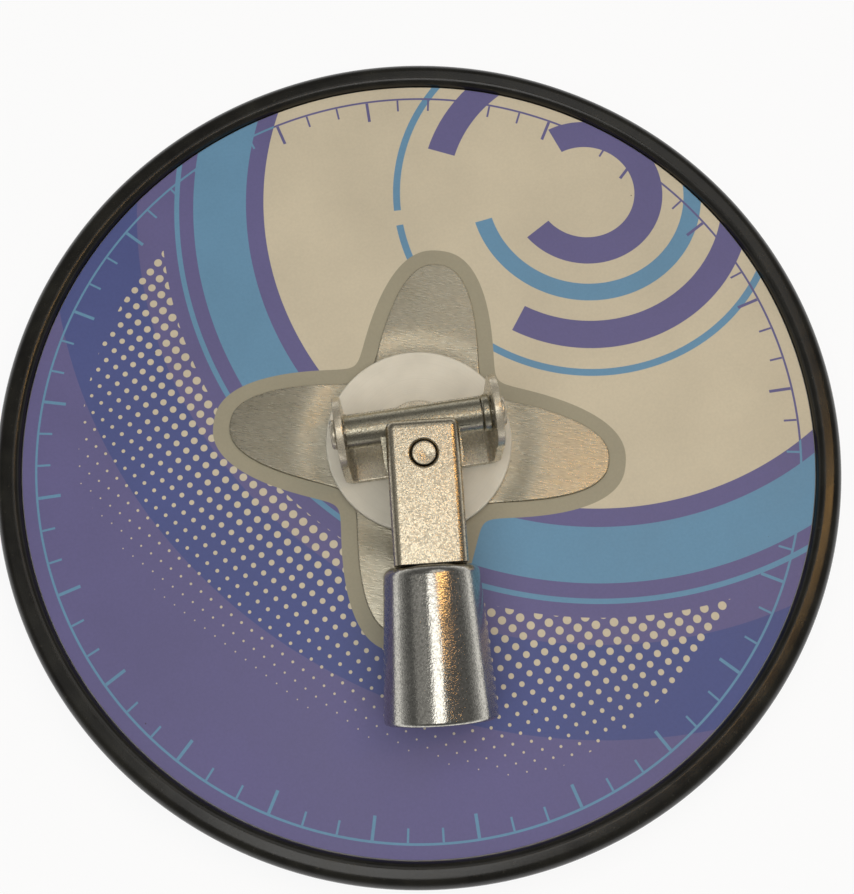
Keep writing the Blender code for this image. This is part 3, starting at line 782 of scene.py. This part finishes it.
def make_ring(material):
    top, low = RING_TOP, RING_LOW
    groove = DISC_RADIUS + SEAT
    wall = RING_OUT - MOULD_LINE
    middle = (top + low) / 2
    section = [
        (wall, top, RING_ROUND),
        (wall, middle + 2 * MOULD_LINE, 0),
        (RING_OUT, middle, 0),
        (wall, middle - 2 * MOULD_LINE, 0),
        (wall, low, RING_ROUND),
        (RING_IN, low, RING_LIP_ROUND),
        (RING_IN, DISC_LOW - SEAT, 0),
        (groove, DISC_LOW - SEAT, 0),
        (groove, FACE_LOW, 0),
        (RING_IN, FACE_LOW, 0),
        (RING_IN, top, RING_INNER_ROUND),
    ]
    piece = turned("rubber_bumper", rounded(section, RING_CORNER), WIDE_TURN)
    stands_for(piece, "bumper_ring", "head", material)


def lobe_radius(angle, grow):
    """The lobed outline's radius: two crossed, blunted ellipses whose polar radii blend."""
    long, short = LOBE_REACH + grow, LOBE_HALF_WIDTH + grow
    cos, sin = abs(math.cos(angle - LOBE_TURN)), abs(math.sin(angle - LOBE_TURN))

    def oval(first, second):
        return ((first / long) ** LOBE_FULLNESS + (second / short) ** LOBE_FULLNESS) ** (-1 / LOBE_FULLNESS)

    return (oval(cos, sin) ** LOBE_BLEND + oval(sin, cos) ** LOBE_BLEND) ** (1 / LOBE_BLEND)


def star_ring(radius_at, height_at, steps=WIDE_TURN):
    """A ring whose radius goes by its angle, and its height by its radius."""
    points = []
    for k in range(steps):
        angle = 2 * math.pi * k / steps
        radius = radius_at(angle)
        points.append(Vector((radius * math.cos(angle), radius * math.sin(angle), height_at(radius))))
    return points


def make_label(material):
    """The printed sheet, with its lobed window."""
    shares = [0, 0.01, 0.25, 0.5, 0.75, 0.99, 1]

    def between(share):
        def radius_at(angle):
            inner = lobe_radius(angle, WINDOW_GAP)
            return inner + (FACE_RADIUS - inner) * share

        return radius_at

    top = [star_ring(between(share), lambda radius: FACE_TOP) for share in shares]
    low = [star_ring(between(share), lambda radius: FACE_LOW) for share in reversed(shares)]
    piece = lofted("printed_face", top + low)
    stands_for(piece, "face_label", "head", material)


def make_plate(material):
    """The lobed steel plate: a pressed round edge, and a shallow press round the hub."""
    flat_steps, edge_steps = 32, 5

    def top_at(radius):
        past = radius - HUB_RADIUS
        share = min(1, max(0, (past - PRESS_START) / (PRESS_END - PRESS_START)))
        return PLATE_TOP - PLATE_PRESS * (1 - share * share * (3 - 2 * share))

    def inset(amount):
        return lambda angle: lobe_radius(angle, 0) - amount

    def inner(share):
        return lambda angle: BOLT_HOLE + (lobe_radius(angle, 0) - PLATE_ROUND - BOLT_HOLE) * share

    rings = [star_ring(inner(k / flat_steps), top_at) for k in range(flat_steps + 1)]
    for step in range(1, edge_steps + 1):
        lean = math.pi / 2 * step / edge_steps
        drop = PLATE_ROUND * (1 - math.cos(lean))
        back = PLATE_ROUND * (1 - math.sin(lean))
        rings.append(star_ring(inset(back), lambda radius, drop=drop: top_at(radius) - drop))
    rings.append(star_ring(inset(0), lambda radius: FACE_LOW))
    rings.append(star_ring(inner(0), lambda radius: FACE_LOW))
    piece = lofted("brushed_lobes", rings)
    stands_for(piece, "lobed_plate", "head", material)


def make_hub(material):
    low = HUB_LOW - PLATE_PRESS
    piece = washer("hub_disc", BUSH_RADIUS + SEAT, HUB_RADIUS, low, HUB_TOP, HUB_ROUND, WIDE_TURN // 2)
    stands_for(piece, "thrust_washer", "head", material)


def make_swivel(brass, zinc):
    bush = washer("swivel_bush_turned", BOLT_HOLE, BUSH_RADIUS, BUSH_LOW, BUSH_TOP, WASHER_EDGE)
    stands_for(bush, "swivel_bush", "head", brass)
    cap = washer("cap_washer_turned", BOLT_HOLE, CAP_RADIUS, CAP_LOW, CAP_TOP, WASHER_EDGE)
    stands_for(cap, "cap_washer", "head", zinc)
    head = [
        (0, BOLT_TOP, 0),
        (BOLT_HEAD, BOLT_TOP, BOLT_CROWN),
        (BOLT_HEAD, BOLT_SEAT, BOLT_UNDER_ROUND),
        (BOLT_SHANK, BOLT_SEAT, 0),
        (BOLT_SHANK, BOLT_LOW, BOLT_TIP_ROUND),
        (0, BOLT_LOW, 0),
    ]
    bolt = turned("swivel_bolt_turned", rounded(head), FINE_TURN, closed=False)
    key = bar("key", BOLT_KEY / math.sqrt(3), 2 * BOLT_KEY_DEPTH, BOLT_KEY_SIDES)
    shaped(bolt, key, Matrix.Translation((0, 0, BOLT_TOP)))
    stands_for(bolt, "swivel_bolt", "head", zinc)


def make_pad(foam):
    """The foam pad: a full, slightly bulging side, with the cut foam's own unevenness."""
    neck = RING_IN - SEAT
    step = RING_LOW - SEAT
    profile = rounded([
        (neck, PAD_TOP, 0),
        (neck, step, 0),
        (PAD_RADIUS - PAD_BULGE, step, PAD_ROUND),
        (PAD_RADIUS, (step + PAD_LOW) / 2, 0),
        (PAD_RADIUS - PAD_BULGE, PAD_LOW, PAD_ROUND),
        (PAD_WELL, PAD_LOW, 0),
        (PAD_WELL, PAD_TOP, 0),
    ])
    piece = turned("foam_cushion", profile, WIDE_TURN)
    for vertex in piece.data.vertices:
        out = Vector((vertex.co.x, vertex.co.y, 0))
        if out.length > neck + SEAT and PAD_LOW + SEAT < vertex.co.z < step - SEAT:
            uneven = noise.noise(vertex.co / PAD_LUMP) * PAD_LUMP_HEIGHT - PAD_LUMP_INSET
            vertex.co += out.normalized() * uneven
    stands_for(piece, "foam_pad", "head", foam)


def make_hooks(tape, nylon):
    """The hook sheet: a woven backing, and rows of small bent hooks under it."""
    low = HOOK_TOP - HOOK_BACKING
    corners = [(HOOK_RADIUS, HOOK_TOP, HOOK_EDGE), (HOOK_RADIUS, low, HOOK_EDGE)]
    section = rounded([(0, HOOK_TOP, 0), *corners, (0, low, 0)], TAPE_CORNER)
    backing = turned("hook_backing", section, WIDE_TURN, closed=False)
    stands_for(backing, "hook_sheet", "head", tape)
    form = bmesh.new()
    route = [(0, low + 0.05 * MM), (0, 0.55 * MM), (0.18 * MM, 0.12 * MM), (0.6 * MM, 0.1 * MM)]
    reach = int(HOOK_RADIUS / HOOK_SPACING) + 1
    for row in range(-reach, reach + 1):
        for place in range(-reach, reach + 1):
            x = (place + 0.5 * (row % 2)) * HOOK_SPACING
            y = row * HOOK_SPACING
            if math.hypot(x, y) > HOOK_RADIUS - HOOK_MARGIN:
                continue
            facing = 1 if row % 2 else -1
            rings = []
            for step, (forward, height) in enumerate(route):
                thick = HOOK_STEM * (1 - HOOK_TAPER * step)
                flat = step == len(route) - 1
                rings.append([
                    form.verts.new((
                        x + facing * (forward + (0 if flat else thick * along)),
                        y + thick * across,
                        height + (thick * HOOK_TIP_SHARE * along if flat else 0),
                    ))
                    for along, across in ((-1, -1), (1, -1), (1, 1), (-1, 1))
                ])
            for first, second in zip(rings, rings[1:]):
                for k in range(4):
                    after = (k + 1) % 4
                    form.faces.new((first[k], first[after], second[after], second[k]))
            form.faces.new(rings[0])
            form.faces.new(rings[-1])
    hooks = from_form("hook_rows", form)
    hooks.data.materials.append(nylon)
    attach(hooks, "head")


# Knuckle


def make_bracket(zinc):
    """A strip bent into a clevis, its ears rounded about the cross pin."""
    pin_above = PIN.z - BRACKET_FRAME.translation.z
    tall = pin_above + BRACKET_HALF + OVERCUT
    inner = EAR_OUT - SHEET
    section = [
        (-EAR_OUT, tall, 0),
        (-EAR_OUT, 0, BEND + SHEET),
        (EAR_OUT, 0, BEND + SHEET),
        (EAR_OUT, tall, 0),
        (inner, tall, 0),
        (inner, SHEET, BEND),
        (-inner, SHEET, BEND),
        (-inner, tall, 0),
    ]
    piece = prism("bent_bracket", rounded(section, BEND_CORNER), 2 * (BRACKET_HALF + OVERCUT))
    piece.data.transform(SECTION_IN_XZ)
    crown = arc(BRACKET_HALF, (0, pin_above), 0, math.pi, FINE_TURN)
    outline = [(-BRACKET_HALF, -OVERCUT), (BRACKET_HALF, -OVERCUT), *crown]
    shaped(piece, prism("ears", outline, 2 * (EAR_OUT + OVERCUT)), OUTLINE_IN_YZ, "INTERSECT")
    bore = bar("pin_bore", PIN_HOLE, 2 * (EAR_OUT + OVERCUT))
    shaped(piece, bore, Matrix.Translation((0, 0, pin_above)) @ ALONG_X)
    shaped(piece, bar("bush_bore", BUSH_RADIUS + SEAT, 2 * OVERCUT), Matrix.Identity(4))
    softened(piece, BRACKET_EDGE)
    stands_for(piece, "clevis_bracket", "bracket", zinc, BRACKET_FRAME)


def make_cross_pin(zinc, spacer_steel):
    seat = EAR_OUT + SEAT
    half = [
        (0, PIN_END, 0),
        (PIN_HEAD, PIN_END, PIN_HEAD_ROUND),
        (PIN_HEAD, seat, PIN_SEAT_ROUND),
        (PIN_RADIUS, seat, 0),
    ]
    other = [(radius, -height, edge) for radius, height, edge in reversed(half)]
    pin = turned("peened_pin", rounded(half + other), FINE_TURN, closed=False)
    stands_for(pin, "cross_pin", "bracket", zinc, PIN_FRAME @ ALONG_X)
    radius = (SPACER_OUT.z - SPACER_IN.z) / 2
    middle = (SPACER_IN.x + SPACER_OUT.x) / 2
    half_thick = (SPACER_OUT.x - SPACER_IN.x) / 2
    spacer = washer("spacer_ring", PIN_HOLE, radius, -half_thick, half_thick, SPACER_ROUND)
    at = PIN_FRAME @ Matrix.Translation((middle, 0, 0)) @ ALONG_X
    stands_for(spacer, "spacer_washer", "bracket", spacer_steel, at)


def make_tee(steel):
    """The sleeve on the cross pin, with the tongue that the neck is riveted to."""
    end = arc(TONGUE_ROUND, (0, -KNUCKLE), 0, -math.pi, FINE_TURN)
    outline = [(-TONGUE_ROUND, 0), (TONGUE_ROUND, 0), *end]
    piece = prism("sleeve_and_tongue", outline, 2 * TONGUE_HALF)
    middle = (SLEEVE_ENDS[0] + SLEEVE_ENDS[1]) / 2
    sleeve = bar("sleeve", SLEEVE_RADIUS, SLEEVE_ENDS[1] - SLEEVE_ENDS[0], SMALL_TURN)
    shaped(piece, sleeve, Matrix.Translation((middle, 0, 0)) @ ALONG_X, "UNION")
    shaped(piece, bar("bore", PIN_HOLE, 4 * EAR_OUT), ALONG_X)
    eye = bar("eye", RIVET_HOLE, 4 * TONGUE_HALF)
    shaped(piece, eye, Matrix.Translation((0, -KNUCKLE, 0)))
    softened(piece, TEE_EDGE)
    stands_for(piece, "swivel_tee", "tee", steel, TEE_FRAME)


def make_neck(zinc):
    """A square bar, rounded along its edges and round the fork's end, and bored for the rivet."""
    length = TINE_REACH + NECK_LENGTH - SEAT
    form = bmesh.new()
    bmesh.ops.create_cube(form, size=1)
    bmesh.ops.scale(form, vec=(NECK_WIDTH, length, NECK_WIDTH), verts=form.verts)
    bmesh.ops.translate(form, vec=(0, TINE_REACH - length / 2, 0), verts=form.verts)
    rims = [edge for edge in form.edges if any(vert.co.y > 0 for vert in edge.verts)]
    bmesh.ops.bevel(form, geom=rims, offset=NECK_ROUND, segments=CORNER, profile=0.5, affect="EDGES")
    piece = from_form("forked_neck", form)
    half = SLOT_DEPTH + TINE_REACH + OVERCUT
    wide = NECK_WIDTH / 2 + OVERCUT
    slot = prism("slot", [(-wide, 0), (wide, 0), (wide, half), (-wide, half)], 2 * SLOT_HALF)
    shaped(piece, slot, Matrix.Translation((0, -SLOT_DEPTH, 0)))
    spigot = bar("spigot", SPIGOT_RADIUS, SOCKET_FLOOR + OVERCUT)
    along = NECK_LENGTH + (SOCKET_FLOOR - OVERCUT) / 2
    shaped(piece, spigot, Matrix.Translation((0, -along, 0)) @ ALONG_MINUS_Y, "UNION")
    face = NECK_WIDTH / 2
    flare = RIVET_HOLE + RIVET_CHAMFER + OVERCUT
    upper = [(0, face + OVERCUT), (flare, face + OVERCUT), (RIVET_HOLE, face - RIVET_CHAMFER)]
    profile = upper + [(radius, -height) for radius, height in reversed(upper)]
    shaped(piece, turned("eye", profile, SMALL_TURN, closed=False), Matrix.Identity(4))
    softened(piece, NECK_EDGE)
    stands_for(piece, "neck_fork", "neck", zinc, NECK_FRAME)


def make_rivet(zinc):
    """The rivet, upset at both ends with a shallow off-centre dint."""
    flat_steps, edge_steps = 5, 4
    tip = NECK_WIDTH / 2 + RIVET_PROUD
    half = [(RIVET_RADIUS * k / flat_steps, tip) for k in range(flat_steps)]
    for step in range(edge_steps + 1):
        lean = math.pi / 2 * step / edge_steps
        half.append((
            RIVET_RADIUS - RIVET_PROUD * (1 - math.sin(lean)),
            tip - RIVET_PROUD * (1 - math.cos(lean)),
        ))
    profile = half + [(radius, -height) for radius, height in reversed(half)]
    piece = turned("upset_rivet", profile, FINE_TURN, closed=False)
    for vertex in piece.data.vertices:
        if abs(vertex.co.z) > tip - WELD:
            away = (vertex.co.xy - RIVET_DINT_PLACE).length / RIVET_DINT_REACH
            vertex.co.z -= math.copysign(RIVET_DINT * math.exp(-away * away), vertex.co.z)
    stands_for(piece, "neck_rivet", "neck", zinc, NECK_FRAME)


def thread_groove():
    """The female thread's groove: a trapezoid section swept along a helix about Z."""
    reach = THREAD_MAJOR - THREAD_MINOR + SEAT
    half_floor = THREAD_FLAT / 2
    half_mouth = half_floor + reach * math.tan(THREAD_FLANK)
    start = NECK_LENGTH + SOCKET_FLOOR + RELIEF_LENGTH / 2
    end = NECK_LENGTH + SOCKET_LENGTH - ENTRY_DEPTH / 2
    count = int((end - start) / THREAD_PITCH * THREAD_TURN)
    corners = [
        (THREAD_MAJOR - reach, half_mouth),
        (THREAD_MAJOR, half_floor),
        (THREAD_MAJOR, -half_floor),
        (THREAD_MAJOR - reach, -half_mouth),
    ]
    form = bmesh.new()
    rows = []
    for k in range(count + 1):
        turn = 2 * math.pi * k / THREAD_TURN
        climb = start + THREAD_PITCH * k / THREAD_TURN
        rows.append([
            form.verts.new((radius * math.cos(turn), radius * math.sin(turn), climb + offset))
            for radius, offset in corners
        ])
    for first, second in zip(rows, rows[1:]):
        for k in range(4):
            after = (k + 1) % 4
            form.faces.new((first[k], first[after], second[after], second[k]))
    form.faces.new(rows[0])
    form.faces.new(rows[-1])
    return from_form("groove", form)


def make_socket(bright):
    """A tapered cup, threaded inside for the pole."""
    shoulder, mouth = NECK_LENGTH, NECK_LENGTH + SOCKET_LENGTH
    floor = shoulder + SOCKET_FLOOR
    relief = THREAD_MAJOR + SEAT
    section = [
        (MOUTH_RADIUS, mouth, MOUTH_ROUND),
        (SHOULDER_RADIUS, shoulder, SHOULDER_ROUND),
        (SPIGOT_RADIUS + SEAT, shoulder, 0),
        (SPIGOT_RADIUS + SEAT, floor, 0),
        (relief, floor, 0),
        (relief, floor + RELIEF_LENGTH, 0),
        (THREAD_MINOR, floor + RELIEF_LENGTH, 0),
        (THREAD_MINOR, mouth - ENTRY_DEPTH, 0),
        (ENTRY_RADIUS, mouth - ENTRY_DEPTH, 0),
        (ENTRY_RADIUS, mouth, ENTRY_ROUND),
    ]
    piece = turned("threaded_socket", rounded(section), SMALL_TURN)
    shaped(piece, thread_groove(), Matrix.Identity(4))
    stands_for(piece, "pole_socket", "neck", bright, NECK_FRAME @ ALONG_MINUS_Y)


def dress(node, material):
    """Gives a finish to a node that keeps its own solid."""
    piece = frame["nodes"][node]
    piece.data.materials.clear()
    piece.data.materials.append(material)


# Stage


def make_floor():
    """A plain pale floor that shows white, and still takes the head's soft shadow."""
    form = bmesh.new()
    bmesh.ops.create_grid(form, x_segments=1, y_segments=1, size=FLOOR_HALF)
    bmesh.ops.translate(form, vec=(0, 0, -FLOOR_DROP), verts=form.verts)
    floor = from_form("floor", form)
    p = new_paint("floor")
    matte = p.node("ShaderNodeBsdfDiffuse", {}, {"Color": FLOOR_GREY})
    white = p.node("ShaderNodeEmission", {}, {"Color": WHITE, "Strength": 1.0})
    path = p.node("ShaderNodeLightPath", {}, {}, out="Is Camera Ray")
    seen = path
    for name in ("Is Glossy Ray", "Is Transmission Ray"):
        seen = p.math("MAXIMUM", seen, Wire(p, path.socket.node.outputs[name]))
    shade = p.node("ShaderNodeMixShader", {}, {0: FLOOR_WHITE * seen, 1: matte, 2: white})
    p.node("ShaderNodeOutputMaterial", {}, {"Surface": shade})
    floor.data.materials.append(p.owner)


def make_world():
    """A studio that is pale at the horizon and dim overhead."""
    world = bpy.data.worlds.new("studio")
    bpy.context.scene.world = world
    p = Paint(world)
    _, _, height = p.split(p.node("ShaderNodeTexCoord", {}, {}, out="Generated"))
    level = p.spread(height, 0.0, SKY_DIM_FROM, SKY_PALE, SKY_DIM)
    level = level + p.spread(height, 0.0, HORIZON_GLOW_TO, HORIZON_GLOW, 0.0)
    shade = p.node("ShaderNodeBackground", {}, {"Color": p.join(level, level, level), "Strength": 1.0})
    p.node("ShaderNodeOutputWorld", {}, {"Surface": shade})


def make_lamp(name, place, size, watts, colour, in_metal=True):
    """A rectangular softbox that faces the head."""
    lamp = bpy.data.lights.new(name, "AREA")
    lamp.shape = "RECTANGLE"
    lamp.size, lamp.size_y = size
    lamp.energy = watts
    lamp.color = colour
    stand = link(name, lamp)
    stand.location = place
    stand.rotation_euler = (LAMP_AIM - Vector(place)).to_track_quat("-Z", "Y").to_euler()
    stand.visible_glossy = in_metal


def make_lamps():
    neutral = (1.0, 0.99, 0.97)
    make_lamp("ceiling", (0, -0.1, 1.2), (1.4, 1.4), 12.8, neutral, in_metal=False)
    make_lamp("strip", (-0.08, -0.16, 1.0), (0.34, 0.48), 1.1, neutral)
    make_lamp("back_panel", (0.245, 0.42, 0.92), (0.55, 0.56), 0.58, neutral)
    make_lamp("side_panel", (-0.55, -0.05, 0.84), (0.40, 0.5), 0.12, neutral)
    make_lamp("warm_strip", (0.40, 0.06, 0.92), (0.05, 0.5), 0.75, (1.0, 0.56, 0.18))


def make_camera():
    camera = bpy.data.cameras.new("camera")
    camera.sensor_width = SENSOR
    camera.lens = SENSOR * PHOTO_FOCUS / PHOTO_HEIGHT
    camera.clip_start = CLIP_START
    stand = link("camera", camera)
    stand.location = EYE
    stand.rotation_euler = (TARGET - EYE).to_track_quat("-Z", "Y").to_euler()
    bpy.context.scene.camera = stand


make_camera()
make_floor()
make_world()
make_lamps()

zinc = zinc_plate("zinc_plate", srgb(206, 197, 176), 0.28, 0.03 * MM, 0.40 * MM, metal=0.7)
cast_zinc = zinc_plate("cast_zinc", srgb(200, 190, 168), 0.26, 0.04 * MM, 0.36 * MM)
satin_steel = zinc_plate("sleeve_steel", srgb(182, 176, 156), 0.32, 0.025 * MM, 0.34 * MM)
bright = zinc_plate("bright_plate", srgb(196, 193, 184), 0.13, 0.035 * MM, 0.42 * MM)
nylon = moulded_plastic("washer_nylon", srgb(44, 44, 44), srgb(58, 58, 58), 0.5)
disc_plastic = moulded_plastic("disc_plastic", srgb(150, 150, 147), srgb(166, 166, 162), 0.5)

make_ring(ring_rubber())
make_label(printed_label())
make_plate(brushed_plate())
make_hub(hub_plastic())
make_swivel(bush_brass(), zinc)
make_pad(open_foam())
make_hooks(
    hook_tape("hook_tape", srgb(34, 34, 36), srgb(58, 58, 61)),
    hook_tape("hook_nylon", srgb(44, 44, 47), srgb(70, 70, 74)),
)
make_bracket(zinc)
make_cross_pin(zinc, satin_steel)
make_tee(satin_steel)
make_neck(cast_zinc)
make_rivet(cast_zinc)
make_socket(bright)
dress("backing_disc", disc_plastic)
dress("clamp_washer", zinc)
dress("lock_nut", zinc)
dress("knuckle_washer_upper", nylon)
dress("knuckle_washer_lower", nylon)

bpy.context.scene.view_settings.view_transform = "Standard"
